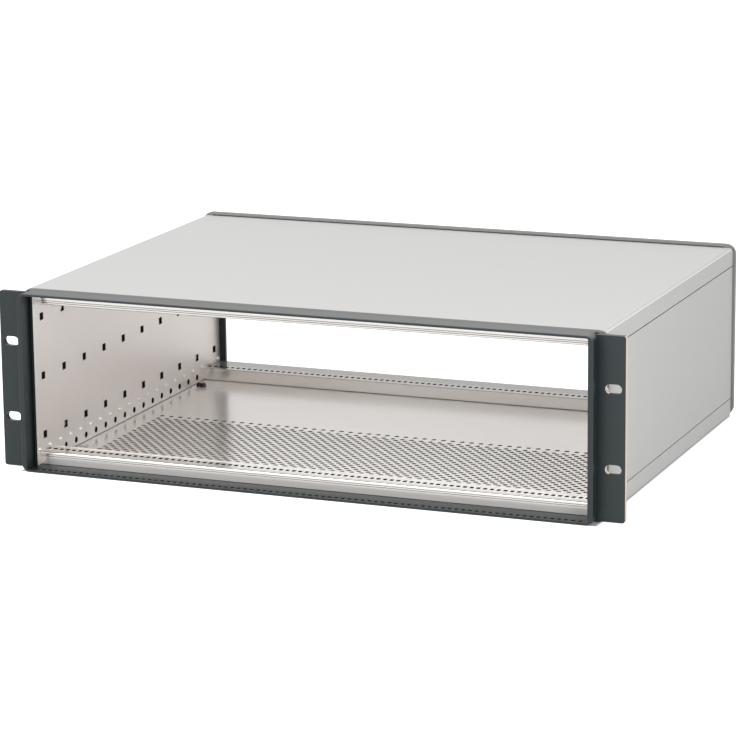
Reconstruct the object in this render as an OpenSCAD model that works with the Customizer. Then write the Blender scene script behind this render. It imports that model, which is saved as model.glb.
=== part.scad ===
// Subrack card cage: a 3-unit, 84-pitch card cage in a closed case with rack ears.
// Millimetres. X runs across the front, Y runs from front to rear, Z is up.
// The origin is under the middle of the case, on the surface that it rests on.

/* [Rack front] */
// Width over both rack ears
rack_w = 482.6; // [478:0.1:486]
// Height of a rack ear
ear_h = 132.5; // [126:0.1:133]
// Thickness of a rack ear
ear_t = 4; // [3:0.5:6]
// Distance of the rack slots from the ears' outer edges
slot_in = 8.75; // [7.75:0.05:10.3]
// Distance between the rack slots, low to high
slot_span_z = 57.15; // [40:0.05:80]
// Length of a rack slot
slot_l = 12; // [8:0.1:13]
// Width of a rack slot
slot_w = 7; // [5:0.1:8]
// Corner radius of a rack slot
slot_r = 3.5; // [1:0.1:3.5]
// Corner radius of a rack ear
ear_r = 2; // [1:0.5:5]

/* [Case] */
// Depth of the case from the front lip to the rear face
case_d = 342; // [300:1:460]
// How far the ears stand out past the covers
ear_out = 16.7; // [15.3:0.1:18.3]
// How far the top cover lies below the front frame's top
cover_drop = 0.5; // [0.3:0.1:1]
// Height of the bottom cover's outer face
cover_bottom = 0.4; // [0.2:0.1:0.8]
// Sheet thickness of the covers and side panels
sheet_t = 1.2; // [0.8:0.1:1.6]
// Outer bend radius of the covers
bend_r = 3; // [2:0.5:5]
// Height of the top cover's side flanges
top_flange_h = 13.6; // [11:0.1:15]
// Height of the bottom cover's side flanges
bottom_flange_h = 14.1; // [11:0.1:15]
// Gap at the seam between a cover and a side panel
seam_gap = 0.8; // [0.3:0.1:2]
// Depth of the side panels' folded edges
panel_fold = 6; // [3:0.1:6]

/* [Front frame] */
// How far the front frame stands past the ears, low and high
frame_over = 1; // [1:0.25:2]
// How far the lip stands out in front of the ears
lip_out = 11; // [6:0.5:16]
// How far the lip's sides lie inside the covers' width
lip_side = 3.1; // [2.6:0.1:3.6]
// Thickness of the lip's side walls
lip_wall = 4; // [3:0.1:5]
// Thickness of the lip's top and bottom walls
lip_plate = 1.8; // [1.6:0.1:2.4]
// Corner radius of the lip
lip_r = 6; // [2:0.5:6]
// How far both frames' sides stand out past the covers
frame_side = 1.4; // [0.4:0.1:2.4]
// Depth of the flange behind the ears
flange_d = 7; // [6:0.5:9]
// Corner radius of both frames
frame_r = 8; // [4:0.5:10]
// Width of a vent slot in the bottom lip
vent_w = 2.8; // [1.5:0.1:3.2]
// Length of a vent slot in the bottom lip
vent_l = 3; // [2:0.1:5]
// Distance of the vent slots from the ears' front face
vent_y = 6.5; // [4:0.5:7]

/* [Rear frame] */
// How far the rear frame stands above the front frame
rear_over = 2; // [1.5:0.5:5]
// Thickness of the rear frame
rear_t = 6; // [5:0.5:8]
// Thickness of the rear frame's inner lip
rear_lip_t = 2.7; // [2:0.1:3.5]
// Distance of the opening from the rear frame's sides
rear_side = 16.5; // [13:0.5:26]
// Distance of the opening from the rear frame's lower and upper edges
rear_border = 5.5; // [4:0.5:10]

/* [Card bay] */
// Pitch of the card positions
card_pitch = 5.08; // [5.08:0.01:5.12]
// Distance of the side plates' inner faces from the covers' sides
plate_side = 9.9; // [9.6:0.1:10.1]
// Thickness of an inner side plate
plate_t = 2; // [1.5:0.1:2]
// Distance of the side plates' front edge from the ears' front face
plate_y = 1.2; // [0.6:0.1:3]
// Distance of the lowest row of square holes from the plate's lower edge
hole_low = 21; // [18:0.1:26]
// Distance of the highest row of square holes from the plate's upper edge
hole_high = 19.7; // [16:0.1:26]
// Distance between the columns of square holes
hole_col = 33.6; // [30:0.1:34]
// Distance of the first column from the ears' front face
hole_y = 14.7; // [13:0.1:18]
// Size of a square hole
hole_s = 5.6; // [4.6:0.1:7]
// Diameter of a round hole
round_d = 4.8; // [3:0.1:5]
// Height of the row of round holes
round_z = 6.7; // [5:0.1:8]
// Height of the row of pressed bumps
bump_z = 13.6; // [13.6:0.1:16]
// Diameter of a pressed bump
bump_d = 3.8; // [3:0.1:3.8]
// How far a pressed bump stands out
bump_h = 1.5; // [0.6:0.1:1.8]

/* [Rails] */
// Depth of a front rail
rail_front_d = 18; // [17:0.5:24]
// Depth of a rear rail
rail_rear_d = 30.5; // [22:0.5:34]
// Height of a rail
rail_h = 9.4; // [9:0.1:9.4]
// Distance of the front rails from the ears' front face
rail_setback = 8; // [7:0.1:9]
// Wall thickness of a rail
rail_wall = 1.5; // [1.2:0.1:1.8]
// Radius of a rail's rounded nose
nose_r = 1.5; // [1:0.1:3]
// Distance of the guide slots from a rail's inner edge
rail_slot_y = 7.8; // [6:0.1:8]
// Width of a guide slot
rail_slot_w = 3; // [2:0.1:3.6]
// Length of a guide slot
rail_slot_l = 4; // [2:0.1:4.4]
// Height of the bead along a rail's inner edge
bead_h = 0.5; // [0.3:0.1:0.8]
// Clearance between pieces that slide together
clear = 0.3; // [0.1:0.05:0.3]

/* [Floor holes] */
// Diameter of a floor hole
perf_d = 4; // [3:0.1:6]
// Distance between the floor holes in a row
perf_x = 15.24; // [12:0.01:20]
// Distance between two like rows of floor holes
perf_y = 17.04; // [14:0.01:20]
// Distance of the field of floor holes from the side plates
perf_side = 22.7; // [19.7:0.1:60]
// Distance of the last row from the ears' front face
perf_last = 173.4; // [120:0.1:190]
// Distance of the first rows from the ears' front face
perf_first = 36; // [34:1:60]

/* [Screws] */
// Diameter of the case screws
screw_d = 3; // [2.5:0.1:3]
// Head diameter of the case screws
head_d = 5.6; // [4.5:0.1:6]
// Head height of the pan screws
head_h = 2.2; // [1.5:0.1:2.4]
// Distance of the ear screws from the ears' ends
ear_screw_in = 19.25; // [14:0.25:22]
// Distance of the frame screws from the case's middle
frame_screw_z = 25; // [10:1:28]

/* [Hidden] */

dark = "#3f4748";
pale = "#d9dad8";
metal = "#c9c4be";
extruded = "#cfcac4";
zinc = "#b9bcc0";
black = "#18191a";

round_fn = 48;
hole_fn = 24;
cut = 1;                                  // how far a cutter runs past a face
lap = 0.01;                               // how far two parts of one piece overlap

// Stations along Y
y_lip = -case_d / 2;
y_ear = y_lip + lip_out;
y_flange = y_ear + ear_t;
y_body = y_flange + flange_d;
y_back = case_d / 2;
y_rear = y_back - rear_t;
y_rear_lip = y_back - rear_lip_t;
body_d = y_rear - y_body;
y_plate_front = y_ear + plate_y;
y_plate_rear = y_rear_lip - clear;
y_rail_front = y_ear + rail_setback + rail_front_d;
y_rail_rear = y_plate_rear - rail_rear_d;

// Heights
front_h = ear_h + 2 * frame_over;
rear_h = front_h + rear_over;
cover_top = front_h - cover_drop;
mid_z = front_h / 2;
floor_z = cover_bottom + sheet_t;
roof_z = cover_top - sheet_t;
plate_z0 = max(lip_plate, floor_z) + clear;
plate_z1 = min(front_h - lip_plate, roof_z) - clear;
bay_mid_z = (plate_z0 + plate_z1) / 2;
ear_z0 = mid_z - ear_h / 2;
panel_z0 = cover_bottom + bottom_flange_h + seam_gap;
panel_z1 = cover_top - top_flange_h - seam_gap;

// Widths
body_w = rack_w - 2 * ear_out;
lip_w = body_w - 2 * lip_side;
frame_w = body_w + 2 * frame_side;
bay_w = body_w - 2 * plate_side;
rear_open_w = frame_w - 2 * rear_side;
slot_span_x = rack_w - 2 * slot_in;
pitches = floor(bay_w / card_pitch);
perf_w = bay_w - 2 * perf_side;

// Places along X, from the middle plane
ear_lap = 2.3;                            // how far the lip laps over the ears
plate_in = bay_w / 2;
plate_out = plate_in + plate_t;
panel_in = body_w / 2 - sheet_t;
ear_in = lip_w / 2 - ear_lap;
lip_in = lip_w / 2 - lip_wall;
flange_in = plate_out + clear;
edge_in = 7.7;                            // notches and clips, inside the side plates
ear_screw_shift = 0.4;                    // towards the outside, clear of the bay
ear_screw_x = (flange_in + frame_w / 2) / 2 + ear_screw_shift;

// Frames' rims
rim_w = min(lip_plate, plate_z0 - clear);
rim_lap = 0.5;                            // how far the plain ring runs into the rim
rim_in = rim_w - rim_lap;
edge_r = 0.7;
shoulder_r = 1.5;

// Rail section, measured from the inner edge and from the underside
bead_w = 1.2;
boss_y = 10;
boss_z = 4.4;
boss_d = 6;
boss_bore = 4.2;
rib_y = boss_y + 0.6;
groove_w = 0.6;
groove_h = 0.4;
nose_grooves = [5.8, 7.1];
top_groove_start = 14;
top_groove_pitch = 3;

// Fasteners
rail_screw_d = 4;
pan_d = 7;
pan_h = 2.6;
drive_d = 2.6;
drive_h = 1.2;
bore_rest = 0.5;                          // what a blind hole leaves of the side plate
sink_h = (head_d - screw_d) / 2;
flush_drive_d = 2;
flush_drive_h = 1;
sink_under = 0.2;                         // how far a flush head lies below the face
lug_d = 10;
lug_screw_y = 5;
lug_h = 60.5;

// Copies the children to the left and to the right
module both_sides() {
  children();
  mirror([1, 0, 0]) children();
}

// Solid that runs across the case, from a section drawn as (Y, Z)
module across(w) {
  translate([-w / 2, 0, 0]) rotate([90, 0, 90]) linear_extrude(w) children();
}

// Solid that runs from front to rear, from a section drawn as (X, Z)
module along(y0, d) {
  translate([0, y0 + d, 0]) rotate([90, 0, 0]) linear_extrude(d) children();
}

// Rectangle with round corners, from its middle and its lower edge
module round_rect(w, z0, z1, r) {
  translate([-w / 2 + r, z0]) square([w - 2 * r, z1 - z0]);
  if (z1 - z0 > 2 * r) translate([-w / 2, z0 + r]) square([w, z1 - z0 - 2 * r]);
  for (x = [-1, 1]) for (z = [z0 + r, z1 - r]) translate([x * (w / 2 - r), z]) circle(r, $fn = round_fn);
}

// Ring of a frame, as a section drawn in (X, Z)
module ring(w, z0, z1, r, open_w, open_z0, open_z1) {
  difference() {
    round_rect(w, z0, z1, r);
    translate([-open_w / 2, open_z0]) square([open_w, open_z1 - open_z0]);
  }
}

// What rounding takes off an outer corner, seen from the rounding's centre
module corner_waste(r) difference() {
  square(r + cut);
  circle(r, $fn = round_fn);
}

// Section of a frame's rim, with its outer face at X = 0 and its front at Y = 0
module rim_outline(d, front_r, back_r) difference() {
  translate([-rim_w, 0]) square([rim_w, d]);
  translate([-front_r, front_r]) mirror([0, 1]) corner_waste(front_r);
  if (back_r > 0) translate([-back_r, d - back_r]) corner_waste(back_r);
}

// One quarter of a rim: half a side bar, half a lower bar and the corner between them
module rim_quarter(w, h, r, d, front_r, back_r) {
  translate([w / 2, 0, r]) linear_extrude(h / 2 - r) rim_outline(d, front_r, back_r);
  mirror([0, 0, 1]) translate([w / 2 - r, 0, 0]) rotate([0, -90, 0])
    linear_extrude(w / 2 - r) rim_outline(d, front_r, back_r);
  translate([w / 2 - r, 0, r]) rotate([-90, 0, 0])
    rotate_extrude(angle = 90, $fn = round_fn) translate([r, 0]) rim_outline(d, front_r, back_r);
}

// Rounded frame bar: a rim with soft outer edges round a plain ring, standing on Z = 0
module frame_ring(y0, d, w, h, r, open_w, open_z0, open_z1, front_r, back_r) {
  translate([0, y0, 0]) both_sides() {
    rim_quarter(w, h, r, d, front_r, back_r);
    translate([0, 0, h]) mirror([0, 0, 1]) rim_quarter(w, h, r, d, front_r, back_r);
  }
  along(y0, d) ring(w - 2 * rim_in, rim_in, h - rim_in, r - rim_in, open_w, open_z0, open_z1);
}

// Places along X where the card positions have a slot
function on_pitch(k) = (k - (pitches - 1) / 2) * card_pitch;

/* ---- front frame ---- */

module front_frame() color(dark) difference() {
  union() {
    frame_ring(y_lip, lip_out, lip_w, front_h, lip_r, 2 * lip_in, lip_plate, front_h - lip_plate,
      edge_r, 0);
    along(y_ear, ear_t)
      ring(2 * ear_in, 0, front_h, lip_r / 2, 2 * max(lip_in, flange_in), lip_plate, front_h - lip_plate);
    frame_ring(y_flange, flange_d, frame_w, front_h, frame_r, 2 * flange_in, lip_plate,
      front_h - lip_plate, edge_r, edge_r);
  }
  for (k = [0 : pitches - 1])
    translate([on_pitch(k) - vent_w / 2, y_ear - vent_y - vent_l / 2, -cut])
      cube([vent_w, vent_l, lip_plate + 2 * cut]);
  both_sides() ear_screw_holes();
  front_screw_places() flush_screw_hole();
}

/* ---- rear frame ---- */

module rear_frame() color(dark) difference() {
  union() {
    frame_ring(y_rear, rear_t, frame_w, rear_h, frame_r, 2 * flange_in, plate_z0 - clear,
      rear_h - plate_z0 + clear, shoulder_r, edge_r);
    along(y_rear_lip, rear_lip_t)
      ring(frame_w - 2 * rim_in, rim_in, rear_h - rim_in, frame_r - rim_in,
        rear_open_w, rear_border, rear_h - rear_border);
    both_sides() translate([flange_in, y_rear - lug_d, bay_mid_z - lug_h / 2])
      cube([panel_in - clear - flange_in, lug_d + cut, lug_h]);
  }
  rear_screw_places() flush_screw_hole();
}

/* ---- rack ears ---- */

module slot_outline() {
  round_rect(slot_l, -slot_w / 2, slot_w / 2, min(slot_r, slot_w / 2));
}

module rack_ear() difference() {
  along(y_ear, ear_t) difference() {
    union() {
      translate([ear_in, ear_z0]) square([rack_w / 2 - ear_r - ear_in, ear_h]);
      translate([ear_in, ear_z0 + ear_r]) square([rack_w / 2 - ear_in, ear_h - 2 * ear_r]);
      for (z = [ear_z0 + ear_r, ear_z0 + ear_h - ear_r])
        translate([rack_w / 2 - ear_r, z]) circle(ear_r, $fn = round_fn);
    }
    for (s = [-1, 1]) translate([slot_span_x / 2, mid_z + s * slot_span_z / 2]) slot_outline();
  }
  ear_screw_holes();
}

module rack_ear_right() color(dark) rack_ear();
module rack_ear_left() color(dark) mirror([1, 0, 0]) rack_ear();

// Puts the children at each ear screw of the right side, with Z to the front
module ear_screw_places() {
  for (z = [ear_z0 + ear_screw_in, ear_z0 + ear_h - ear_screw_in])
    translate([ear_screw_x, y_body, z]) rotate([90, 0, 0]) children();
}

ear_rest = 1.2;                           // what an ear screw leaves of the ear
ear_screw_reach = flange_d + ear_t - ear_rest;
module ear_screw_holes() ear_screw_places() {
  translate([0, 0, -cut]) cylinder(h = ear_screw_reach + cut, d = screw_d, $fn = hole_fn);
  translate([0, 0, -cut]) cylinder(h = head_h + clear + cut, d = head_d + clear, $fn = hole_fn);
}

// Pan screw with its head from Z = 0 up and its shank below
module pan_screw(d, head, high, reach) {
  difference() {
    cylinder(h = high, d = head, $fn = hole_fn);
    translate([0, 0, high - drive_h]) cylinder(h = drive_h + cut, d = drive_d, $fn = 6);
  }
  translate([0, 0, -reach]) cylinder(h = reach, d = d, $fn = hole_fn);
}

module ear_screws() ear_screw_places() translate([0, 0, head_h + clear]) mirror([0, 0, 1])
  pan_screw(screw_d, head_d, head_h, ear_screw_reach - head_h - clear);

module ear_screws_right() color(zinc) ear_screws();
module ear_screws_left() color(zinc) mirror([1, 0, 0]) ear_screws();

/* ---- covers and side panels ---- */

// Folded channel, open downwards, as a section drawn in (X, Z)
module channel_outline(w, h, r, t) {
  difference() {
    folded(w, h, r);
    folded(w - 2 * t, h - t, r - t);
  }
}

module folded(w, h, r) {
  translate([-w / 2, 0]) square([w, h - r]);
  translate([-w / 2 + r, 0]) square([w - 2 * r, h]);
  for (x = [-1, 1]) translate([x * (w / 2 - r), h - r]) circle(r, $fn = round_fn);
}

module top_cover() color(pale)
  translate([0, 0, cover_top - top_flange_h])
    along(y_body, body_d) channel_outline(body_w, top_flange_h, bend_r, sheet_t);

notch_x = plate_in - edge_in;
notch_l = 7.5;
notch_w = 4;
notch_y = 64;

module bottom_cover() color(pale) difference() {
  translate([0, 0, cover_bottom + bottom_flange_h]) mirror([0, 0, 1])
    along(y_body, body_d) channel_outline(body_w, bottom_flange_h, bend_r, sheet_t);
  translate([0, 0, cover_bottom - cut]) linear_extrude(sheet_t + 2 * cut) {
    floor_holes();
    both_sides() translate([notch_x, y_ear + notch_y]) square([notch_l, notch_w]);
  }
}

// Staggered field of round holes
perf_rows = floor((perf_last - perf_first) / perf_y);
perf_cols = floor(perf_w / perf_x);
module floor_holes() {
  for (j = [0 : perf_rows]) for (i = [0 : perf_cols])
    translate([(i - perf_cols / 2) * perf_x, y_ear + perf_last - j * perf_y])
      circle(d = perf_d, $fn = hole_fn);
  for (j = [0 : perf_rows - 1]) for (i = [0 : perf_cols - 1])
    translate([(i + 0.5 - perf_cols / 2) * perf_x, y_ear + perf_last - (j + 0.5) * perf_y])
      circle(d = perf_d, $fn = hole_fn);
}

// Side panel with its upper and lower edges folded in, as a section drawn in (X, Z)
module panel_outline() {
  fold_in = max(panel_in - panel_fold, plate_out + clear);
  translate([panel_in, panel_z0]) square([sheet_t, panel_z1 - panel_z0]);
  for (z = [panel_z0, panel_z1 - sheet_t])
    translate([fold_in, z]) square([panel_in + sheet_t - fold_in, sheet_t]);
}

module side_panel() along(y_body, body_d) panel_outline();
module side_panel_right() color(pale) side_panel();
module side_panel_left() color(pale) mirror([1, 0, 0]) side_panel();

/* ---- inner side plates ---- */

plate_d = y_plate_rear - y_plate_front;
edge_rest = 3;
half_col = hole_col / 2;
columns = floor((y_plate_rear - edge_rest - hole_s / 2 - y_ear - hole_y) / hole_col);
round_shift = -0.8;
bump_y = 5;
bumps = floor((y_plate_rear - bump_d / 2 - y_ear - bump_y) / half_col);

function hole_place(i) = y_ear + hole_y + i * hole_col;
row_z = [plate_z0 + hole_low, plate_z1 - hole_high];

// Side plate drawn in (Y, Z)
module plate_outline() difference() {
  translate([y_plate_front, plate_z0]) square([plate_d, plate_z1 - plate_z0]);
  for (i = [0 : columns]) for (z = [row_z[0], (row_z[0] + row_z[1]) / 2, row_z[1]])
    translate([hole_place(i) - hole_s / 2, z - hole_s / 2]) square(hole_s);
  for (i = [2 : 2 * columns - 2])
    translate([hole_place(0) + i * half_col + round_shift, round_z]) circle(d = round_d, $fn = hole_fn);
  for (y = rail_screw_y) for (z = rail_screw_z)
    translate([y, z]) circle(d = rail_screw_d, $fn = hole_fn);
}

// Pressed bump: the cap of a ball
bump_r = (bump_d * bump_d / 4 + bump_h * bump_h) / (2 * bump_h);
module bump() rotate_extrude($fn = hole_fn) intersection() {
  translate([0, bump_h - bump_r]) circle(bump_r, $fn = round_fn);
  translate([0, -bore_rest]) square([bump_d / 2, bump_h + 2 * bore_rest]);
}

module inner_plate() {
  difference() {
    translate([plate_in, 0, 0]) rotate([90, 0, 90]) linear_extrude(plate_t) plate_outline();
    front_screw_places() screw_bore(screw_long);
    rear_screw_places() screw_bore(rear_screw_long);
  }
  for (i = [0 : bumps])
    translate([plate_in, y_ear + bump_y + i * half_col, bump_z]) rotate([0, -90, 0]) bump();
}

module inner_plate_right() color(metal) inner_plate();
module inner_plate_left() color(metal) mirror([1, 0, 0]) inner_plate();

/* ---- extruded rails ---- */

// Section of a rail as (Y, Z), with its inner edge at Y = 0 and its nose at Y = d
module rail_outline(d) difference() {
  union() {
    square([rail_wall, rail_h]);
    square([bead_w, rail_h + bead_h]);
    translate([0, rail_h - rail_wall]) square([d - nose_r, rail_wall]);
    translate([d - nose_r, rail_h - nose_r]) intersection() {
      difference() {
        circle(nose_r, $fn = round_fn);
        if (nose_r > rail_wall) circle(nose_r - rail_wall, $fn = round_fn);
      }
      square(nose_r);
    }
    translate([d - rail_wall, 0]) square([rail_wall, rail_h - nose_r]);
    translate([boss_y, boss_z]) circle(d = boss_d, $fn = round_fn);
    translate([rib_y, boss_z]) square([rail_wall, rail_h - boss_z]);
  }
  translate([boss_y, boss_z]) circle(d = boss_bore, $fn = hole_fn);
  for (z = nose_grooves) translate([d - groove_h, z]) square([groove_h + cut, groove_w]);
  for (y = [top_groove_start : top_groove_pitch : d - nose_r - 1])
    translate([y, rail_h - groove_h]) square([groove_w, groove_h + cut]);
}

module rail(d) difference() {
  across(bay_w) rail_outline(d);
  for (k = [0 : pitches])
    translate([on_pitch(k - 0.5) - rail_slot_w / 2, rail_slot_y - rail_slot_l / 2,
      rail_h - rail_wall - clear])
      cube([rail_slot_w, rail_slot_l, rail_wall + clear + cut]);
}

module upside_down() translate([0, 0, 2 * bay_mid_z]) mirror([0, 0, 1]) children();
module front_rail() translate([0, y_rail_front, plate_z0]) mirror([0, 1, 0]) rail(rail_front_d);
module rear_rail() translate([0, y_rail_rear, plate_z0]) rail(rail_rear_d);

module rail_front_bottom() color(extruded) front_rail();
module rail_front_top() color(extruded) upside_down() front_rail();
module rail_rear_bottom() color(extruded) rear_rail();
module rail_rear_top() color(extruded) upside_down() rear_rail();

/* ---- screws and small parts ---- */

// Pan screws that hold the rails' ends to the side plates
rail_screw_y = [y_rail_front - boss_y, y_rail_rear + boss_y];
rail_screw_z = [plate_z0 + boss_z, plate_z1 - boss_z];
rail_screw_reach = 10;
module rail_screws() for (y = rail_screw_y) for (z = rail_screw_z)
  translate([plate_out, y, z]) rotate([0, 90, 0]) pan_screw(rail_screw_d, pan_d, pan_h, rail_screw_reach);

module rail_screws_right() color(zinc) rail_screws();
module rail_screws_left() color(zinc) mirror([1, 0, 0]) rail_screws();

// Puts the children where a frame screw of the right side enters, with Z outwards
module front_screw_places() both_sides() for (s = [-1, 1])
  translate([frame_w / 2, (y_flange + y_body) / 2, bay_mid_z + s * frame_screw_z])
    rotate([0, 90, 0]) children();

module rear_screw_places() both_sides() for (s = [-1, 1])
  translate([panel_in - clear, y_rear - lug_screw_y, bay_mid_z + s * frame_screw_z])
    rotate([0, 90, 0]) children();

// Long enough for either frame, as the side plate's own face ends the bore
module flush_screw_hole() {
  translate([0, 0, -frame_w / 2 + plate_in]) cylinder(h = frame_w / 2 - plate_in, d = screw_d, $fn = hole_fn);
  translate([0, 0, -sink_under - sink_h]) cylinder(h = sink_h, d1 = screw_d, d2 = head_d, $fn = hole_fn);
  translate([0, 0, -sink_under - lap]) cylinder(h = sink_under + cut, d = head_d, $fn = hole_fn);
}

// Blind bore in the side plate, seen from the screw's own place
module screw_bore(reach) translate([0, 0, -reach]) cylinder(h = reach, d = screw_d, $fn = hole_fn);

screw_long = frame_w / 2 - plate_in - bore_rest;
rear_screw_long = panel_in - clear - plate_in - bore_rest;

module flush_screw(reach) difference() {
  union() {
    translate([0, 0, -sink_under - sink_h]) cylinder(h = sink_h, d1 = screw_d, d2 = head_d, $fn = hole_fn);
    translate([0, 0, -reach])
      cylinder(h = reach - sink_under - sink_h + lap, d = screw_d, $fn = hole_fn);
  }
  translate([0, 0, -sink_under - flush_drive_h]) cylinder(h = sink_h, d = flush_drive_d, $fn = 6);
}

module frame_screws_front() color(zinc) front_screw_places() flush_screw(screw_long);
module frame_screws_rear() color(zinc) rear_screw_places() flush_screw(rear_screw_long);

// Studs between the side plate and the side panel, with a pin in a square hole
pin_d = 3.2;
pin_rest = 1.2;                           // how far the pins end below the plate's inner face
stud_d = 8;
module panel_studs() for (i = [1, columns - 1]) for (z = row_z)
  translate([plate_out, hole_place(i), z]) rotate([0, 90, 0]) {
    cylinder(h = panel_in - plate_out, d = stud_d, $fn = round_fn);
    translate([0, 0, pin_rest - plate_t]) cylinder(h = plate_t - pin_rest + lap, d = pin_d, $fn = hole_fn);
  }

module panel_studs_right() color(zinc) panel_studs();
module panel_studs_left() color(zinc) mirror([1, 0, 0]) panel_studs();

// Black clips with two knobs, on the floor
clip_x = plate_in - edge_in;
clip_back = 23.5;
knob_d = 4.4;
knob_top_d = 2.8;
knob_gap = 4;
knob_h = 3.2;
knob_taper = 1;
web_h = 1.2;
module floor_clip() translate([clip_x, y_rail_rear - clip_back, floor_z]) {
  translate([-knob_gap / 2, -knob_d / 4, 0]) cube([knob_gap, knob_d / 2, web_h]);
  for (s = [-1, 1]) translate([s * knob_gap / 2, 0, 0]) {
    cylinder(h = knob_h - knob_taper, d = knob_d, $fn = hole_fn);
    translate([0, 0, knob_h - knob_taper])
      cylinder(h = knob_taper, d1 = knob_d, d2 = knob_top_d, $fn = hole_fn);
  }
}

module floor_clips() color(black) both_sides() floor_clip();

front_frame();
rear_frame();
rack_ear_left();
rack_ear_right();
top_cover();
bottom_cover();
side_panel_left();
side_panel_right();
inner_plate_left();
inner_plate_right();
rail_front_bottom();
rail_front_top();
rail_rear_bottom();
rail_rear_top();
rail_screws_left();
rail_screws_right();
ear_screws_left();
ear_screws_right();
frame_screws_front();
frame_screws_rear();
panel_studs_left();
panel_studs_right();
floor_clips();
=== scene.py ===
"""Looks of a subrack card cage: paint, bare metal, the full field of floor holes, and a plain stage."""

import math
from collections import namedtuple

import bpy
import numpy as np
from mathutils import Matrix, Vector


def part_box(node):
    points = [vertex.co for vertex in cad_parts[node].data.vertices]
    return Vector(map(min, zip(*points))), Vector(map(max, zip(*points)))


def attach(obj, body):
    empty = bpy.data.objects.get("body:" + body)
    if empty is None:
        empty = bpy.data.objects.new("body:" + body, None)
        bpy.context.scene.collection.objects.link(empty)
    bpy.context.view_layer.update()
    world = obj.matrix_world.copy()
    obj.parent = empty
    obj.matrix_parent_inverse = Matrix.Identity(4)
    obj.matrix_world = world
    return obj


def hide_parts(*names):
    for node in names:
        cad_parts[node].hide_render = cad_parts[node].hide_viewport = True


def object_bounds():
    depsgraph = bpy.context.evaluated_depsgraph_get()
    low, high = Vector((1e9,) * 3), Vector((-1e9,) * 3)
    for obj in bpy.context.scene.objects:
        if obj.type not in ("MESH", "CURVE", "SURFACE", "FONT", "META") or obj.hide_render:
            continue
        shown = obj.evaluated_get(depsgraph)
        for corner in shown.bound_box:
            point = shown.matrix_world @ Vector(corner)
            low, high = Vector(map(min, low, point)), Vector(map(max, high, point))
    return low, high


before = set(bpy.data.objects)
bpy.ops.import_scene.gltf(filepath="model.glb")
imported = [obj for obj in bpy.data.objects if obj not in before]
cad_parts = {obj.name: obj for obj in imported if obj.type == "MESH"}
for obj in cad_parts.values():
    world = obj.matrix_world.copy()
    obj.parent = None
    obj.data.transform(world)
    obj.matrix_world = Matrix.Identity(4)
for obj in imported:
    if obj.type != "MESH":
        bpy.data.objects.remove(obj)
CAD_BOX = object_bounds()

bl_info = {
    "name": "Subrack card cage",
    "version": (1, 0, 0),
    "blender": (4, 5, 0),
    "location": "3D View > Sidebar > Card cage",
    "description": "Dresses a card cage in paint and bare metal, and builds its perforated floor",
    "category": "Object",
}

MM = 0.001

# Boxes of the pieces that the masks and the floor go by, each a low and a high corner.
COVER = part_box("top_cover")
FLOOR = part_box("bottom_cover")
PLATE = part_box("inner_plate_right")
FRONT_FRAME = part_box("front_frame")
FRONT_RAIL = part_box("rail_front_bottom")
REAR_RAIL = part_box("rail_rear_bottom")

# Sheet metal: thicknesses, the bend's outer radius, and the flat that is left beside a bend.
SHEET_THICK = 1.2 * MM
SHEET_BEND = 3.0 * MM
FLAT_BESIDE_BEND = 1.0 * MM
PLATE_THICK = 2.0 * MM
PLATE_EDGE = 4.0 * MM
NOTCH = (207.0 * MM, 214.5 * MM, -96.0 * MM, -92.0 * MM)

# The frames: depth of the top bar's upper faces, which take a painted sheen, and how far the rear rim's
# painted sheen reaches.
TOP_BAR = 4.5 * MM
RIM_GAP = 0.1 * MM
RIM_LAP = 1.0 * MM
REAR_EDGE = 0.8 * MM

# The rails: middle of the slots from the edge in the card bay, half a slot, bead, grooves and nose.
SLOT_IN = 7.8 * MM
SLOT_HALF = 2.0 * MM
BEAD = 0.5 * MM
GROOVE_START = 0.08 * MM
GROOVE_END = 0.42 * MM
NOSE_GROOVE_END = 0.50 * MM
NOSE_ROUND = 1.35 * MM

# Less than any step between two faces, so that a mask can tell them apart.
HAIR = 0.05 * MM

PLATE_INNER = PLATE[1][0] - PLATE_THICK
BAY_MIDDLE = (PLATE[0][2] + PLATE[1][2]) / 2
RAIL_FACE = BAY_MIDDLE - FRONT_RAIL[1][2] + BEAD

# Least share of a surface's direction along an axis, on faces that count as facing that way.
LEVEL, UPWARD, UPRIGHT, OUTWARD = 0.8, 0.6, 0.5, 0.35

BUMP_STRENGTH = 0.6

# The floor's material slots.
OUTSIDE, INSIDE, HOLE_WALL = 0, 1, 2

# The camera's place in metres, its yaw, pitch and roll in degrees, and its lens in millimetres.
CAMERA_PLACE = (0.9032, -2.2625, 0.6239)
CAMERA_TURN = (22.065, 13.074, -0.639)
CAMERA_LENS = 161.39
CAMERA_SENSOR = 36.0

Finish = namedtuple("Finish", "grain colour metallic specular", defaults=(0.0, 0.5))

# ---------------------------------------------------------------- node helpers


def put(tree, kind, settings=None, **sockets):
    """Adds a node. Settings are its properties; sockets are set, or linked where a socket is given.

    A socket is named with underscores for spaces, or i0, i1 and so on by its number.
    """
    node = tree.nodes.new(kind)
    for name, value in (settings or {}).items():
        setattr(node, name, value)
    for name, value in sockets.items():
        key = int(name[1:]) if name[0] == "i" and name[1:].isdigit() else name.replace("_", " ")
        if isinstance(value, bpy.types.NodeSocket):
            tree.links.new(value, node.inputs[key])
        else:
            node.inputs[key].default_value = value
    return node


def maths(tree, operation, first, second=0.0, third=0.0):
    """One value worked out from up to three."""
    return put(tree, "ShaderNodeMath", {"operation": operation}, i0=first, i1=second, i2=third).outputs[0]


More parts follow.
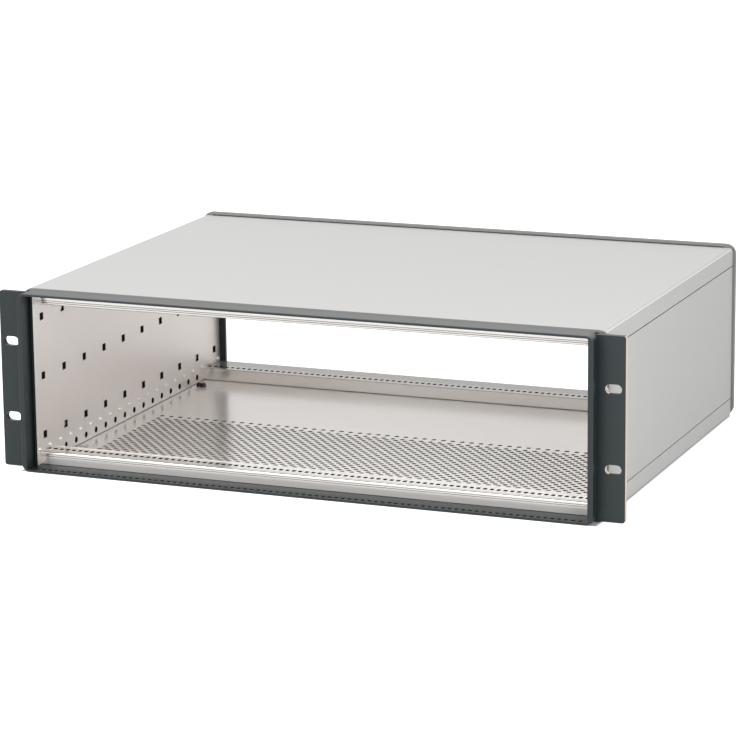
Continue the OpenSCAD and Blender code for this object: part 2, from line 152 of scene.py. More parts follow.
def stretched_noise(tree, scale):
    """Noise over object coordinates in metres; scale holds its cycles per metre along X, Y and Z."""
    place = put(tree, "ShaderNodeTexCoord").outputs["Object"]
    mapping = put(tree, "ShaderNodeMapping", Vector=place, Scale=scale)
    noise = put(tree, "ShaderNodeTexNoise", Vector=mapping.outputs[0], Scale=1.0, Detail=3.0, Roughness=0.55)
    return noise.outputs["Fac"]


def new_group(name, inputs, outputs):
    """A shader node group with its sockets; returns the group, its input node and its output node."""
    group = bpy.data.node_groups.new(name, "ShaderNodeTree")
    for label, kind, value in inputs:
        socket = group.interface.new_socket(label, in_out="INPUT", socket_type=kind)
        socket.default_value = value
    for label, kind in outputs:
        group.interface.new_socket(label, in_out="OUTPUT", socket_type=kind)
    return group, group.nodes.new("NodeGroupInput"), group.nodes.new("NodeGroupOutput")


def grain_group(name, scale, spread, low, high, depth):
    """A surface's grain: a colour that varies a little, a roughness and a bumped normal.

    colour = base x (1 + spread x (noise - 0.5)); roughness runs from low to high with the noise;
    the normal is bumped by the noise to the given depth in metres.
    """
    group, given, result = new_group(
        name,
        [("Base", "NodeSocketColor", (0.5, 0.5, 0.5, 1.0))],
        [("Colour", "NodeSocketColor"), ("Roughness", "NodeSocketFloat"), ("Normal", "NodeSocketVector")],
    )
    noise = stretched_noise(group, scale)
    shade = maths(group, "MULTIPLY_ADD", noise, spread, 1.0 - spread / 2)
    tinted = put(group, "ShaderNodeVectorMath", {"operation": "SCALE"}, i0=given.outputs["Base"], Scale=shade)
    rough = put(group, "ShaderNodeMapRange", Value=noise, To_Min=low, To_Max=high)
    strength = BUMP_STRENGTH if depth else 0.0
    bump = put(group, "ShaderNodeBump", Height=noise, Distance=depth, Strength=strength)
    group.links.new(tinted.outputs[0], result.inputs["Colour"])
    group.links.new(rough.outputs[0], result.inputs["Roughness"])
    group.links.new(bump.outputs[0], result.inputs["Normal"])
    return group


def new_material(name):
    """An empty node material with its output; returns the material, its tree and the output."""
    material = bpy.data.materials.new(name)
    material.use_nodes = True
    material.node_tree.nodes.clear()
    return material, material.node_tree, material.node_tree.nodes.new("ShaderNodeOutputMaterial")


def colour4(values):
    """Red, green, blue and full alpha."""
    return (*tuple(values)[:3], 1.0)


def principled(tree, finish):
    """A Principled surface of one finish."""
    grain = put(tree, "ShaderNodeGroup", {"node_tree": finish.grain}, Base=colour4(finish.colour)).outputs
    shader = put(tree, "ShaderNodeBsdfPrincipled", Metallic=finish.metallic, Base_Color=grain["Colour"],
                 Roughness=grain["Roughness"], Normal=grain["Normal"], Specular_IOR_Level=finish.specular)
    return shader.outputs[0]


def one_finish(name, finish):
    """A material of one finish."""
    material, tree, out = new_material(name)
    tree.links.new(principled(tree, finish), out.inputs["Surface"])
    return material


def mixed_finishes(name, first, *others):
    """A first finish, with each of the others laid over it where its own mask is 1."""
    material, tree, out = new_material(name)
    surface = principled(tree, first)
    for mask_maker, finish in others:
        mix = put(tree, "ShaderNodeMixShader", Fac=mask_maker(tree))
        tree.links.new(surface, mix.inputs[1])
        tree.links.new(principled(tree, finish), mix.inputs[2])
        surface = mix.outputs[0]
    tree.links.new(surface, out.inputs["Surface"])
    return material


def place_axes(tree):
    """Object coordinates as three values."""
    place = put(tree, "ShaderNodeTexCoord").outputs["Object"]
    return put(tree, "ShaderNodeSeparateXYZ", Vector=place).outputs


def normal_axes(tree):
    """The surface's own direction as three values."""
    normal = put(tree, "ShaderNodeNewGeometry").outputs["True Normal"]
    return put(tree, "ShaderNodeSeparateXYZ", Vector=normal).outputs


def cut_edge_mask(tree):
    """1 on an ear's edges and slot walls that face away from the case, which are bare metal."""
    side = maths(tree, "SIGN", place_axes(tree)["X"])
    return maths(tree, "GREATER_THAN", maths(tree, "MULTIPLY", side, normal_axes(tree)["X"]), OUTWARD)


def between(tree, value, low, high):
    """1 where the value lies between low and high."""
    above = maths(tree, "GREATER_THAN", value, low)
    return maths(tree, "MULTIPLY", above, maths(tree, "LESS_THAN", value, high))


def slot_wall_mask(tree):
    """1 on the upright walls of the rails' guide slots, front and rear, which take a near-black painted
    shade.
    """
    y, reach = place_axes(tree)["Y"], SLOT_HALF + HAIR
    front, rear = (between(tree, y, middle - reach, middle + reach)
                   for middle in (FRONT_RAIL[1][1] - SLOT_IN, REAR_RAIL[0][1] + SLOT_IN))
    upright = maths(tree, "LESS_THAN", maths(tree, "ABSOLUTE", normal_axes(tree)["Z"]), UPRIGHT)
    return maths(tree, "MULTIPLY", maths(tree, "MAXIMUM", front, rear), upright)


def off_middle(tree):
    """Distance from the middle plane."""
    return maths(tree, "ABSOLUTE", place_axes(tree)["X"])


def rear_rim_mask(tree):
    """1 on the rear frame's outer rim, where it stands out past the covers and takes a lighter painted sheen.
    """
    _, y, z = place_axes(tree)
    beside = maths(tree, "GREATER_THAN", off_middle(tree), COVER[1][0] + RIM_GAP)
    past = maths(tree, "MAXIMUM", beside, maths(tree, "GREATER_THAN", z, COVER[1][2] - RIM_LAP))
    return maths(tree, "MULTIPLY", past, maths(tree, "LESS_THAN", y, CAD_BOX[1][1] - REAR_EDGE))


def bump_mask(tree):
    """1 on what stands out from a side plate's inner face, the bumps, which take a whiter painted highlight.
    """
    return maths(tree, "LESS_THAN", off_middle(tree), PLATE_INNER - HAIR)


def front_edge_mask(tree):
    """1 on the front edge of a side plate."""
    return maths(tree, "LESS_THAN", place_axes(tree)["Y"], PLATE[0][1] + PLATE_EDGE)


def behind_plate_mask(tree):
    """1 on what lies outside a side plate's outer face, where a stud takes a near-black painted shade."""
    return maths(tree, "GREATER_THAN", off_middle(tree), PLATE[1][0] - HAIR)


def hole_wall_mask(tree):
    """1 inside a side plate's thickness, which is to say on the walls of its holes; they take a near-black
    painted shade.
    """
    return maths(tree, "GREATER_THAN", off_middle(tree), PLATE_INNER + HAIR)


def above_middle(tree):
    """Distance above or below the card bay's middle height."""
    return maths(tree, "ABSOLUTE", maths(tree, "SUBTRACT", place_axes(tree)["Z"], BAY_MIDDLE))


def rail_top_mask(tree):
    """1 on the level faces of the rear rails that look into the card bay, which take a darker painted shade.
    """
    level = maths(tree, "GREATER_THAN", maths(tree, "ABSOLUTE", normal_axes(tree)["Z"]), LEVEL)
    level = maths(tree, "MULTIPLY", level, maths(tree, "LESS_THAN", above_middle(tree), RAIL_FACE + 3 * HAIR))
    return maths(tree, "MULTIPLY", level, maths(tree, "GREATER_THAN", place_axes(tree)["Y"], 0.0))


def groove_mask(tree):
    """1 in the fine grooves along a rail's nose and along its top, which take a darker painted shade."""
    height, face = above_middle(tree), FRONT_RAIL[0][1]
    nose = between(tree, place_axes(tree)["Y"], face + GROOVE_START, face + NOSE_GROOVE_END)
    nose = maths(tree, "MULTIPLY", nose, maths(tree, "GREATER_THAN", height, RAIL_FACE + NOSE_ROUND))
    top = between(tree, height, RAIL_FACE + GROOVE_START, RAIL_FACE + GROOVE_END)
    return maths(tree, "MAXIMUM", nose, top)


def upper_face_mask(tree):
    """1 on the upper faces of the front frame's top bar, which take a lighter painted sheen."""
    raised = maths(tree, "GREATER_THAN", place_axes(tree)["Z"], FRONT_FRAME[1][2] - TOP_BAR)
    return maths(tree, "MULTIPLY", raised, maths(tree, "GREATER_THAN", normal_axes(tree)["Z"], UPWARD))


def inside_mask(tree):
    """1 on the inner faces of the covers and side panels, past the middle of their sheet."""
    half, z = SHEET_THICK / 2, place_axes(tree)["Z"]
    within = maths(tree, "LESS_THAN", off_middle(tree), COVER[1][0] - half)
    return maths(tree, "MULTIPLY", within, between(tree, z, FLOOR[0][2] + half, COVER[1][2] - half))


# ---------------------------------------------------------------- sizes and colours


class CardCageFloor(bpy.types.PropertyGroup):
    """Sizes of the perforated floor."""

    hole_diameter: bpy.props.FloatProperty(
        name="Hole diameter", description="Diameter of a floor hole", default=4.0 * MM, min=1.0 * MM,
        max=4.2 * MM, unit="LENGTH")
    pitch_across: bpy.props.FloatProperty(
        name="Pitch across", description="Distance between holes in a row", default=7.62 * MM, unit="LENGTH")
    pitch_deep: bpy.props.FloatProperty(
        name="Pitch front to rear", description="Distance between rows, each set off by half a pitch",
        default=4.26 * MM, unit="LENGTH")
    holes_across: bpy.props.IntProperty(
        name="Holes across", description="Holes in a row", default=52, min=2, max=56)
    last_row: bpy.props.FloatProperty(
        name="Last row", description="Place of the rearmost row", default=13.4 * MM, unit="LENGTH")
    row_break: bpy.props.FloatProperty(
        name="Row break", description="Distance from the rearmost row to the field", default=7.9 * MM,
        unit="LENGTH")
    first_row: bpy.props.FloatProperty(
        name="First row", description="Place that the foremost row doesn't pass", default=-123.0 * MM,
        unit="LENGTH")


class CardCageColours(bpy.types.PropertyGroup):
    """Colours of the finishes."""

    dark_paint: bpy.props.FloatVectorProperty(
        name="Dark paint", description="Anthracite texture paint", subtype="COLOR", size=3,
        default=(0.011, 0.019, 0.021))
    # Painted sheen: a lighter copy of the dark paint for the front frame's upper faces.
    upper_sheen_paint: bpy.props.FloatVectorProperty(
        name="Upper paint", description="Upper faces of the front frame", subtype="COLOR", size=3,
        default=(0.075, 0.082, 0.078))
    # Painted sheen: a lighter grey copy of the dark paint on the rear frame's outer rim.
    rim_sheen_paint: bpy.props.FloatVectorProperty(
        name="Rim paint", description="Outer rim of the rear frame", subtype="COLOR", size=3,
        default=(0.20, 0.20, 0.195))
    light_paint: bpy.props.FloatVectorProperty(
        name="Light paint", description="Light grey cover paint", subtype="COLOR", size=3,
        default=(0.63, 0.63, 0.62))
    cut_metal: bpy.props.FloatVectorProperty(
        name="Cut metal", description="Bare cut edges of the ears", subtype="COLOR", size=3,
        default=(0.64, 0.53, 0.41))
    plate_metal: bpy.props.FloatVectorProperty(
        name="Plate metal", description="Chromated inner side plates", subtype="COLOR", size=3,
        default=(0.89, 0.84, 0.81))
    # Painted highlight: the pressed bumps are a whiter copy of the plate metal.
    bump_highlight_metal: bpy.props.FloatVectorProperty(
        name="Bump metal", description="Pressed bumps of the side plates", subtype="COLOR", size=3,
        default=(0.98, 0.97, 0.96))
    # Painted shade: darker metal on the walls of the floor's holes and in the rails' grooves.
    recess_shade: bpy.props.FloatVectorProperty(
        name="Floor edge", description="Walls of the floor's holes", subtype="COLOR", size=3,
        default=(0.36, 0.35, 0.32))
    pressed_metal: bpy.props.FloatVectorProperty(
        name="Pressed metal", description="Front edges of the side plates", subtype="COLOR", size=3,
        default=(0.90, 0.88, 0.86))
    floor_metal: bpy.props.FloatVectorProperty(
        name="Floor metal", description="Bare inside of the covers", subtype="COLOR", size=3,
        default=(0.95, 0.92, 0.89))
    rail_metal: bpy.props.FloatVectorProperty(
        name="Rail metal", description="Extruded rails", subtype="COLOR", size=3,
        default=(0.90, 0.87, 0.84))
    # Painted shade: a darker copy of the rail metal on the rear rails' level faces.
    rail_top_shade: bpy.props.FloatVectorProperty(
        name="Rail top", description="Level faces of the rear rails", subtype="COLOR", size=3,
        default=(0.43, 0.41, 0.39))
    # Painted shade: near black on hole and slot walls, on the side panels' inner faces and on the studs
    # behind the plates.
    hole_shade: bpy.props.FloatVectorProperty(
        name="Punched edge", description="Walls of the punched holes and slots", subtype="COLOR", size=3,
        default=(0.030, 0.028, 0.026))
    zinc: bpy.props.FloatVectorProperty(
        name="Zinc", description="Screws and studs", subtype="COLOR", size=3, default=(0.60, 0.60, 0.62))
    nylon: bpy.props.FloatVectorProperty(
        name="Nylon", description="Black floor clips", subtype="COLOR", size=3, default=(0.012, 0.012, 0.013))


class CardCageStage(bpy.types.PropertyGroup):
    """Lamps and floor of the stage."""

    key_power: bpy.props.FloatProperty(
        name="Key power", description="Strength of the lamp over the front left", default=37.0, min=0.0)
    fill_power: bpy.props.FloatProperty(
        name="Fill power", description="Strength of the lamp at the front right", default=4.5, min=0.0)
    back_power: bpy.props.FloatProperty(
        name="Back power", description="Strength of the lamp high up behind the case", default=6.0, min=0.0)
    sky: bpy.props.FloatProperty(
        name="Sky", description="Strength of the even light from all round", default=0.53, min=0.0)
    floor_glow: bpy.props.FloatProperty(
        name="Floor glow", description="Light that the camera sees on the floor beside the case",
        default=1.0, min=0.0)
    reflected_glow: bpy.props.FloatProperty(
        name="Reflected glow", description="Share of the floor glow that reflections see", default=0.65,
        min=0.0, max=1.0)
    floor_colour: bpy.props.FloatVectorProperty(
        name="Floor colour", description="Colour of the floor", subtype="COLOR", size=3,
        default=(0.68, 0.68, 0.68))


# ---------------------------------------------------------------- surfaces


def joined(parts):
    """Joins (points, faces, finish) parts, where faces is a whole array of 3 or 4 corner numbers."""
    points, faces, finishes, start = [], [], [], 0
    for place, corners, finish in parts:
        points.append(place)
        faces.extend((corners + start).tolist())
        finishes.append(np.full(len(corners), finish, dtype=np.int32))
        start += len(place)
    return np.concatenate(points), faces, np.concatenate(finishes)


def new_piece(name, parts, materials, node_names):
    """Makes the piece's object from its parts, rides it on the root and lets it stand for its nodes."""
    points, faces, finishes = joined(parts)
    mesh = bpy.data.meshes.new(name)
    mesh.from_pydata(points, [], faces)
    mesh.polygons.foreach_set("material_index", finishes)
    for material in materials:
        mesh.materials.append(material)
    mesh.update()
    piece = bpy.data.objects.new(name, mesh)
    bpy.context.scene.collection.objects.link(piece)
    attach(piece, "root")
    if node_names:
        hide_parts(*node_names)
    return piece


BOX_FACES = np.array([[4, 5, 6, 7], [3, 2, 1, 0], [0, 1, 5, 4], [1, 2, 6, 5], [2, 3, 7, 6], [3, 0, 4, 7]])


def plates(rectangles, low, high):
    """Flat plates: each row of rectangles is (x0, x1, y0, y1), and each plate is a box from low to high.

    The upper face takes the inside finish and the rest the outside one.
    """
    x0, x1, y0, y1 = np.asarray(rectangles, dtype=float).T
    x = np.stack([x0, x1, x1, x0, x0, x1, x1, x0], axis=1)
    y = np.stack([y0, y0, y1, y1, y0, y0, y1, y1], axis=1)
    z = np.broadcast_to(np.repeat([low, high], 4), x.shape)
    points = np.stack([x, y, z], axis=2).reshape(-1, 3)
    starts = x.shape[1] * np.arange(len(x0))[:, None]
    upper = BOX_FACES[0][None, :] + starts
    others = (BOX_FACES[1:][None] + starts[:, :, None]).reshape(-1, 4)
    return [(points, upper, INSIDE), (points, others, OUTSIDE)]


def pierced_cells(centres, half_x, half_y, radius, low, high):
    """Cells of sheet, each with one round hole of twelve sides.

    A cell's edge has six points: its corners and the middles of its front and rear edges, so that
    rows set off by half a pitch share their points. Hole point k lies at radius x (cos a, sin a) with
    a = 30 k - 30 degrees, and each edge of the cell is joined to two edges of the hole by three triangles.
    """
    edge = np.array([[1, -1], [1, 1], [0, 1], [-1, 1], [-1, -1], [0, -1]]) * [half_x, half_y]
    corners, sides = len(edge), 12
    layer = corners + sides
    turn = np.radians(np.arange(sides) * 30.0 - 30.0)
    outline = np.concatenate([edge, radius * np.stack([np.cos(turn), np.sin(turn)], axis=1)])
    flat = centres[:, None, :] + outline[None]
    count = len(centres)
    lower = np.concatenate([flat, np.full((count, layer, 1), low)], axis=2)
    upper = np.concatenate([flat, np.full((count, layer, 1), high)], axis=2)
    points = np.concatenate([lower, upper], axis=1).reshape(-1, 3)
    k = np.arange(corners)
    after, hole, mid = (k + 1) % corners, corners + 2 * k, corners + 2 * k + 1
    far = corners + (2 * k + 2) % sides
    fan = np.concatenate([
        np.stack([k, after, mid], axis=1),
        np.stack([k, mid, hole], axis=1),
        np.stack([after, far, mid], axis=1),
    ])
    starts = 2 * layer * np.arange(count)[:, None, None]
    top = (fan[None] + layer + starts).reshape(-1, 3)
    bottom = (fan[None, :, ::-1] + starts).reshape(-1, 3)
    ring = corners + np.arange(sides)
    following = corners + (np.arange(sides) + 1) % sides
    wall = np.stack([ring, ring + layer, following + layer, following], axis=1)
    walls = (wall[None] + starts).reshape(-1, 4)
    return [(points, top, INSIDE), (points, bottom, OUTSIDE), (points, walls, HOLE_WALL)]


def folded_edge(side, flat_x, outer_x, low, high, front, rear):
    """One side of the cover: flat sheet, a quarter bend and an upright flange, carried front to rear.

    The profile's outer line is flat to outer_x - bend, then a quarter circle of radius bend, then
    upright; the inner line is the same, one thickness inside, with radius bend - thick.
    """
    turn = np.radians(np.linspace(0.0, 90.0, 9))
    thick, bend = SHEET_THICK, SHEET_BEND

    def line(radius, x_end, z_floor):
        x = np.concatenate([[flat_x], outer_x - bend + radius * np.sin(turn), [x_end]])
        z = np.concatenate([[z_floor], low + bend - radius * np.cos(turn), [high]])
        return np.stack([x, z], axis=1)

    outer, inner = line(bend, outer_x, low), line(bend - thick, outer_x - thick, low + thick)
    profile = np.concatenate([outer, inner[::-1]])
    count, half = len(profile), len(outer)
    ends = [np.column_stack([side * profile[:, 0], np.full(count, y), profile[:, 1]]) for y in (front, rear)]
    points = np.concatenate(ends)
    k = np.arange(count)
    after = (k + 1) % count
    strip = np.stack([k, after, after + count, k + count], axis=1)
    near = k[: half - 1]
    caps = np.stack([near, near + 1, count - 2 - near, count - 1 - near], axis=1)
    is_inner = (k >= half) & (k < count - 1)
    if side < 0:
        strip, caps = strip[:, ::-1], caps[:, ::-1]
    return [(points, strip[~is_inner], OUTSIDE), (points, strip[is_inner], INSIDE),
            (points, caps[:, ::-1], OUTSIDE), (points, caps + count, OUTSIDE)]


# ---------------------------------------------------------------- finishes

FINISHES = {}


def make_finishes(colours):
    """All the cage's materials, from its colours."""
    texture_paint = grain_group(
        "texture_paint", scale=(1500, 1500, 1500), spread=0.25, low=0.36, high=0.50, depth=0.06 * MM)
    smooth_paint = grain_group(
        "smooth_paint", scale=(500, 500, 500), spread=0.03, low=0.50, high=0.56, depth=0.02 * MM)
    sheet_grain = grain_group(
        "sheet_grain", scale=(60, 300, 300), spread=0.05, low=0.18, high=0.21, depth=0.0)
    plate_grain = grain_group(
        "plate_grain", scale=(350, 350, 350), spread=0.05, low=0.36, high=0.44, depth=0.0)
    drawn_grain = grain_group(
        "drawn_grain", scale=(4, 140, 140), spread=0.05, low=0.15, high=0.19, depth=0.0)
    fine_grain = grain_group(
        "fine_grain", scale=(1200, 1200, 1200), spread=0.10, low=0.25, high=0.40, depth=0.01 * MM)
    dark = Finish(texture_paint, colours.dark_paint)
    # The upper faces of the front frame take a painted sheen, a lighter copy of the dark paint.
    upper = Finish(texture_paint, colours.upper_sheen_paint)
    # The rear rim takes a painted sheen, a lighter copy of the dark paint.
    rim_sheen = Finish(texture_paint, colours.rim_sheen_paint)
    light = Finish(smooth_paint, colours.light_paint)
    bare = Finish(sheet_grain, colours.floor_metal, metallic=0.30, specular=0.25)
    # Painted shade: near black, for what lies deep in the holes and slots.
    hole_shade_finish = Finish(fine_grain, colours.hole_shade, specular=0.2)
    cut_metal = Finish(fine_grain, colours.cut_metal, metallic=0.6)
    # Painted shade: darker metal for the floor's hole walls.
    recess_shade = Finish(fine_grain, colours.recess_shade, metallic=0.5)
    plate = Finish(plate_grain, colours.plate_metal, metallic=0.5)
    pressed = Finish(plate_grain, colours.pressed_metal, metallic=0.5)
    # The bumps take a painted highlight, a whiter copy of the plate metal.
    bump = Finish(fine_grain, colours.bump_highlight_metal, metallic=0.5)
    rail = Finish(drawn_grain, colours.rail_metal, metallic=0.55)
    # The rear rails' level faces take a painted shade, a darker copy of the rail metal.
    rail_top_shade = Finish(drawn_grain, colours.rail_top_shade, metallic=0.6)
    # The rails' grooves take the same darker painted shade.
    groove_shade = Finish(drawn_grain, colours.recess_shade, metallic=0.5)
    zinc = Finish(fine_grain, colours.zinc, metallic=0.9)
    nylon = Finish(fine_grain, colours.nylon)
    FINISHES.update({
        "front_frame": mixed_finishes("anthracite_paint_sheen_top", dark, (upper_face_mask, upper)),
        "rear_frame": mixed_finishes("anthracite_paint_sheen_rim", dark, (rear_rim_mask, rim_sheen)),
        "ear": mixed_finishes("anthracite_paint_cut_edges", dark, (cut_edge_mask, cut_metal)),
        "cover": mixed_finishes("cover_paint_bare_inside", light, (inside_mask, bare)),
        # The side panels' inner faces, seen through the plates' holes, take a near-black painted shade.
        "panel": mixed_finishes("panel_paint_shade_inside", light, (inside_mask, hole_shade_finish)),
        "floor_outside": one_finish("floor_paint", light),
        "floor_inside": one_finish("bare_floor", bare),
        "recess_shade": one_finish("floor_hole_edge_shade", recess_shade),
        "plate": mixed_finishes(
            "chromated_plate", plate, (front_edge_mask, pressed), (bump_mask, bump),
            (hole_wall_mask, hole_shade_finish)),
        "rail": mixed_finishes(
            "drawn_rail", rail, (rail_top_mask, rail_top_shade), (groove_mask, groove_shade), (slot_wall_mask, hole_shade_finish)),
        "zinc": one_finish("zinc_plate", zinc),
        # The studs' parts behind the plates take a near-black painted shade.
        "stud": mixed_finishes("zinc_pin_shaded_stud", zinc, (behind_plate_mask, hole_shade_finish)),
        "nylon": one_finish("black_nylon_clip", nylon),
    })


def material_of(finish):
    """The material of a finish; all of them are made when the first is asked for."""
    if not FINISHES:
        make_finishes(bpy.context.scene.card_cage_colours)
    return FINISHES[finish]


def dress(names, finish):
    """Puts a finish in every material slot of the named CAD nodes."""
    material = material_of(finish)
    for name in names:
        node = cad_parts[name]
        if not node.material_slots:
            node.data.materials.append(material)
        for material_slot in node.material_slots:
            material_slot.material = material


# ---------------------------------------------------------------- operators


class CAGE_OT_frames(bpy.types.Operator):
    """Dresses the front and rear frames and the rack ears"""

    bl_idname = "cage.frames"
    bl_label = "Frames and ears"

    def execute(self, context):
        dress(["front_frame"], "front_frame")
        dress(["rear_frame"], "rear_frame")
        dress(["rack_ear_left", "rack_ear_right"], "ear")
        return {"FINISHED"}


class CAGE_OT_covers(bpy.types.Operator):
    """Dresses the top cover and the side panels"""

    bl_idname = "cage.covers"
    bl_label = "Covers"

    def execute(self, context):
        dress(["top_cover"], "cover")
        dress(["side_panel_left", "side_panel_right"], "panel")
        return {"FINISHED"}


class CAGE_OT_floor(bpy.types.Operator):
    """Builds the bottom cover with its full field of holes"""

    bl_idname = "cage.floor"
    bl_label = "Perforated floor"

    def execute(self, context):
        sizes = context.scene.card_cage_floor
        low, high = (np.array(corner) for corner in FLOOR)
        top = low[2] + SHEET_THICK
        edge_x = high[0] - SHEET_BEND - FLAT_BESIDE_BEND
        rows = np.arange(sizes.last_row - sizes.row_break, sizes.first_row, -sizes.pitch_deep)
        parts = plates(self.flat_areas(sizes, rows, low[1], high[1], edge_x), low[2], top)
        parts += pierced_cells(self.hole_centres(sizes, rows), sizes.pitch_across / 2,
                               sizes.pitch_deep / 2, sizes.hole_diameter / 2, low[2], top)
        for side in (-1, 1):
            parts += folded_edge(side, edge_x, high[0], low[2], high[2], low[1], high[1])
        finishes = [material_of(name) for name in ("floor_outside", "floor_inside", "recess_shade")]
        new_piece("perforated_floor", parts, finishes, ["bottom_cover"])
        return {"FINISHED"}

    def hole_centres(self, sizes, rows):
        """Centres of all the holes: full rows, rows set off by half a pitch, and the rearmost row."""
        across = sizes.pitch_across
        columns = (np.arange(sizes.holes_across) - (sizes.holes_across - 1) / 2) * across
        whole = np.stack(np.meshgrid(columns, rows[::2]), axis=-1).reshape(-1, 2)
        offset = np.stack(np.meshgrid(columns[:-1] + across / 2, rows[1::2]), axis=-1).reshape(-1, 2)
        last = np.stack([columns, np.full(len(columns), sizes.last_row)], axis=1)
        return np.concatenate([whole, offset, last])

    def flat_areas(self, sizes, rows, front, rear, edge_x):
        """The sheet around the holes as (x0, x1, y0, y1): ends of the offset rows, and strips.

        The strips on either side leave the notch free.
        """
        half_x, half_y = sizes.pitch_across / 2, sizes.pitch_deep / 2
        field_x = sizes.holes_across * half_x
        notch_in, notch_out, notch_front, notch_rear = NOTCH
        areas = [(side * field_x, side * (field_x - half_x), y - half_y, y + half_y)
                 for y in rows[1::2] for side in (-1, 1)]
        areas += [
            (-field_x, field_x, front, rows[-1] - half_y),
            (-field_x, field_x, rows[0] + half_y, sizes.last_row - half_y),
            (-field_x, field_x, sizes.last_row + half_y, rear),
        ]
        for side in (-1, 1):
            areas += [
                (side * field_x, side * notch_in, front, rear),
                (side * notch_out, side * edge_x, front, rear),
                (side * notch_in, side * notch_out, front, notch_front),
                (side * notch_in, side * notch_out, notch_rear, rear),
            ]
        return [(min(x0, x1), max(x0, x1), y0, y1) for x0, x1, y0, y1 in areas]


class CAGE_OT_plates(bpy.types.Operator):
    """Dresses the inner side plates"""

    bl_idname = "cage.plates"
    bl_label = "Inner side plates"

    def execute(self, context):
        dress(["inner_plate_left", "inner_plate_right"], "plate")
        return {"FINISHED"}


class CAGE_OT_rails(bpy.types.Operator):
    """Dresses the four extruded rails"""

    bl_idname = "cage.rails"
    bl_label = "Rails"

    def execute(self, context):
        dress([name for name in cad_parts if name.startswith("rail_") and "screws" not in name], "rail")
        return {"FINISHED"}


class CAGE_OT_fasteners(bpy.types.Operator):
    """Dresses the screws, studs and floor clips"""

    bl_idname = "cage.fasteners"
    bl_label = "Screws, studs and clips"

    def execute(self, context):
        dress([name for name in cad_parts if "screws" in name], "zinc")
        dress(["panel_studs_left", "panel_studs_right"], "stud")
        dress(["floor_clips"], "nylon")
        return {"FINISHED"}


def soft_lamp(name, place, target, size, power):
    """A square area lamp that looks at a target."""
    lamp = bpy.data.lights.new(name, "AREA")
    lamp.shape, lamp.size, lamp.energy = "SQUARE", size, power
    holder = bpy.data.objects.new(name, lamp)
    holder.location = place
    holder.rotation_mode = "QUATERNION"
    holder.rotation_quaternion = (Vector(target) - Vector(place)).to_track_quat("-Z", "Y")
    bpy.context.scene.collection.objects.link(holder)


def seen_directly(tree):
    """1 for rays from the camera and for those seen in gloss or through glass."""
    path = put(tree, "ShaderNodeLightPath").outputs
    either = maths(tree, "MAXIMUM", path["Is Camera Ray"], path["Is Glossy Ray"])
    return maths(tree, "MAXIMUM", either, path["Is Transmission Ray"])


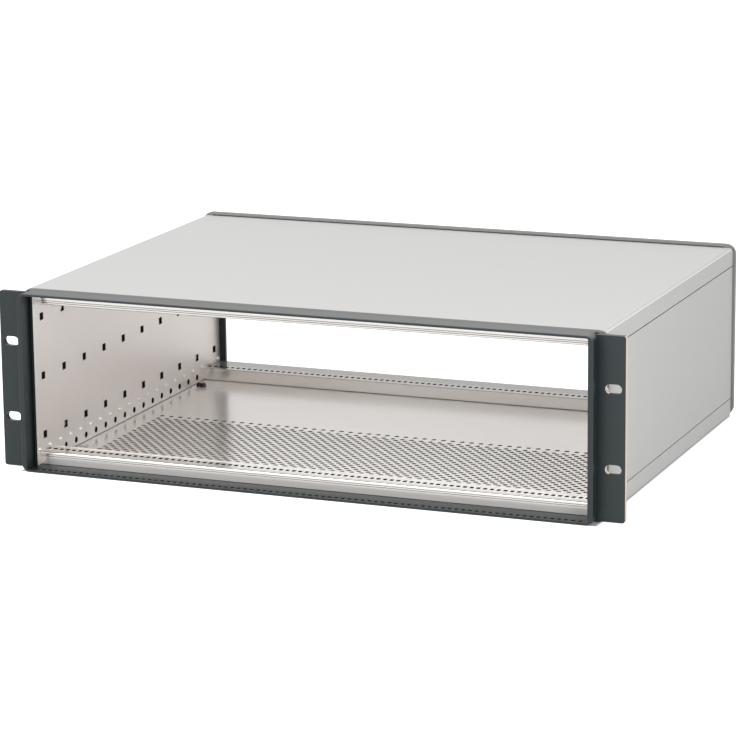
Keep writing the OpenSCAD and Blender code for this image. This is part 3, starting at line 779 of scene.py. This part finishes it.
class CAGE_OT_stage(bpy.types.Operator):
    """Sets up the floor, the lamps, the sky and the camera"""

    bl_idname = "cage.stage"
    bl_label = "Stage"

    def execute(self, context):
        scene, sizes = context.scene, context.scene.card_cage_stage
        scene.view_settings.view_transform = "Standard"
        self.floor(sizes)
        self.sky(scene, sizes)
        soft_lamp("key_lamp", place=(-1.3, -1.5, 1.9), target=(0, 0, 0.06), size=1.6, power=sizes.key_power)
        soft_lamp("fill_lamp", place=(0.85, -0.85, 0.5), target=(0.2, -0.16, 0.06), size=0.5,
                  power=sizes.fill_power)
        soft_lamp("back_lamp", place=(-0.5, 2.2, 1.7), target=(0, 0, 0.06), size=2.0, power=sizes.back_power)
        self.camera(scene)
        return {"FINISHED"}

    def floor(self, sizes):
        """A flat floor just below the part, white where nothing shades it."""
        reach, gap_below = 30.0, 0.2 * MM
        level = float(CAD_BOX[0][2]) - gap_below
        corners = np.array([[-reach, -reach, level], [reach, -reach, level], [reach, reach, level],
                            [-reach, reach, level]])
        mesh = bpy.data.meshes.new("studio_floor")
        mesh.from_pydata(corners, [], [[0, 1, 2, 3]])
        ground = bpy.data.objects.new("studio_floor", mesh)
        bpy.context.scene.collection.objects.link(ground)
        material, tree, out = new_material("studio_floor_paper")
        diffuse = put(tree, "ShaderNodeBsdfDiffuse", Color=colour4(sizes.floor_colour))
        path = put(tree, "ShaderNodeLightPath").outputs
        reflected = maths(tree, "MULTIPLY", path["Is Glossy Ray"], sizes.reflected_glow)
        seen = maths(tree, "MAXIMUM", path["Is Camera Ray"], reflected)
        away = maths(tree, "MULTIPLY", seen, self.beside_case(tree))
        glow = put(tree, "ShaderNodeEmission", Strength=maths(tree, "MULTIPLY", away, sizes.floor_glow))
        both = put(tree, "ShaderNodeAddShader")
        tree.links.new(diffuse.outputs[0], both.inputs[0])
        tree.links.new(glow.outputs[0], both.inputs[1])
        tree.links.new(both.outputs[0], out.inputs["Surface"])
        mesh.materials.append(material)

    def beside_case(self, tree):
        """0 under the case, rising to 1 over a short ramp at the edge of its footprint."""
        ears_past, inset, ramp = 19.0 * MM, 3.0 * MM, 3.0 * MM
        x, y, _ = place_axes(tree)
        past_x = maths(tree, "SUBTRACT", maths(tree, "ABSOLUTE", x), float(CAD_BOX[1][0]) - ears_past)
        past_y = maths(tree, "SUBTRACT", maths(tree, "ABSOLUTE", y), float(CAD_BOX[1][1]) - inset)
        past = maths(tree, "MAXIMUM", past_x, past_y)
        return put(tree, "ShaderNodeMapRange", Value=past, From_Min=0.0, From_Max=ramp).outputs[0]

    def sky(self, scene, sizes):
        """Even light from all round, shown as white."""
        world = bpy.data.worlds.new("studio_sky")
        scene.world = world
        world.use_nodes = True
        tree = world.node_tree
        tree.nodes.clear()
        strength = put(tree, "ShaderNodeMapRange", Value=seen_directly(tree), To_Min=sizes.sky, To_Max=1.0)
        back = put(tree, "ShaderNodeBackground", Color=(1, 1, 1, 1), Strength=strength.outputs[0])
        out = tree.nodes.new("ShaderNodeOutputWorld")
        tree.links.new(back.outputs[0], out.inputs["Surface"])

    def camera(self, scene):
        """A long lens from the front right, a little above the part."""
        yaw, pitch, roll = (math.radians(angle) for angle in CAMERA_TURN)
        ahead = Vector((-math.sin(yaw) * math.cos(pitch), math.cos(yaw) * math.cos(pitch), -math.sin(pitch)))
        level = Vector((math.cos(yaw), math.sin(yaw), 0.0))
        above = level.cross(ahead)
        right = math.cos(roll) * level + math.sin(roll) * above
        up = math.cos(roll) * above - math.sin(roll) * level
        lens = bpy.data.cameras.new("studio_camera")
        lens.sensor_width, lens.lens = CAMERA_SENSOR, CAMERA_LENS
        lens.clip_start, lens.clip_end = 0.05, 100.0
        camera = bpy.data.objects.new("studio_camera", lens)
        turned = Matrix((right, up, -ahead)).transposed().to_4x4()
        camera.matrix_world = Matrix.Translation(CAMERA_PLACE) @ turned
        scene.collection.objects.link(camera)
        scene.camera = camera


OPERATORS = (CAGE_OT_frames, CAGE_OT_covers, CAGE_OT_floor, CAGE_OT_plates, CAGE_OT_rails,
             CAGE_OT_fasteners, CAGE_OT_stage)


class CAGE_PT_panel(bpy.types.Panel):
    """Lists the cage's pieces, sizes and colours"""

    bl_idname = "CAGE_PT_panel"
    bl_label = "Card cage"
    bl_space_type = "VIEW_3D"
    bl_region_type = "UI"
    bl_category = "Card cage"

    def draw(self, context):
        for operator in OPERATORS:
            self.layout.operator(operator.bl_idname)
        for name in GROUPS:
            group = getattr(context.scene, name)
            for key in group.__annotations__:
                self.layout.prop(group, key)


GROUPS = {
    "card_cage_floor": CardCageFloor,
    "card_cage_colours": CardCageColours,
    "card_cage_stage": CardCageStage,
}


def register():
    """Registers the sizes, the operators and the panel."""
    for name, group in GROUPS.items():
        bpy.utils.register_class(group)
        setattr(bpy.types.Scene, name, bpy.props.PointerProperty(type=group))
    for each in (*OPERATORS, CAGE_PT_panel):
        bpy.utils.register_class(each)


def unregister():
    """Takes away what register added."""
    for each in reversed((*OPERATORS, CAGE_PT_panel)):
        bpy.utils.unregister_class(each)
    for name, group in GROUPS.items():
        delattr(bpy.types.Scene, name)
        bpy.utils.unregister_class(group)


def main():
    """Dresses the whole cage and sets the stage."""
    register()
    bpy.ops.cage.frames()
    bpy.ops.cage.covers()
    bpy.ops.cage.floor()
    bpy.ops.cage.plates()
    bpy.ops.cage.rails()
    bpy.ops.cage.fasteners()
    bpy.ops.cage.stage()


if __name__ == "__main__":
    main()
